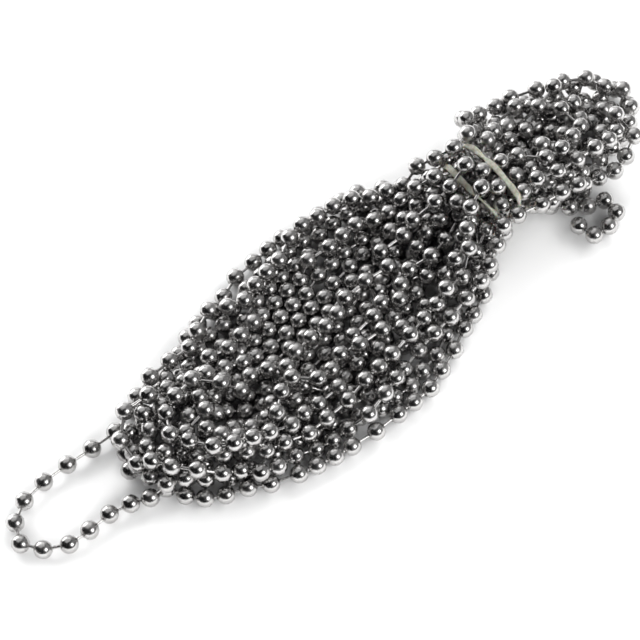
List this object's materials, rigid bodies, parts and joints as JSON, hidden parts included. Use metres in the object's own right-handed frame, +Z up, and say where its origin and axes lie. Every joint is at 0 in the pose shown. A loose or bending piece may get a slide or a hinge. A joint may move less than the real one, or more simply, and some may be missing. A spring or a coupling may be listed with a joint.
{
  "type": "roller blind chain",
  "caption": "Hank of metal ball chain for a roller blind, wound in long turns, one turn left longer, tied near one end with an elastic band.",
  "frame": {"origin": "on the surface that the hank lies on, under the middle of its box", "axes": "+X along the hank from the long loose turn at the tail to the tied head, +Y across it away from the curled free end, +Z up"},
  "size_m": [0.1954, 0.0606, 0.0202],
  "materials": {
    "chain_metal": "polished nickel plate, mirror bright with fine handling marks",
    "elastic": "matt pale latex, slightly translucent"
  },
  "bodies": {
    "root": {"chain_turn_01": "chain_metal", "chain_turn_02": "chain_metal", "chain_turn_03": "chain_metal", "chain_turn_04": "chain_metal", "chain_turn_05": "chain_metal", "chain_turn_06": "chain_metal", "chain_turn_07": "chain_metal", "chain_turn_08": "chain_metal", "chain_turn_09": "chain_metal", "chain_turn_10": "chain_metal", "elastic_band": "elastic"}
  },
  "joints": []
}
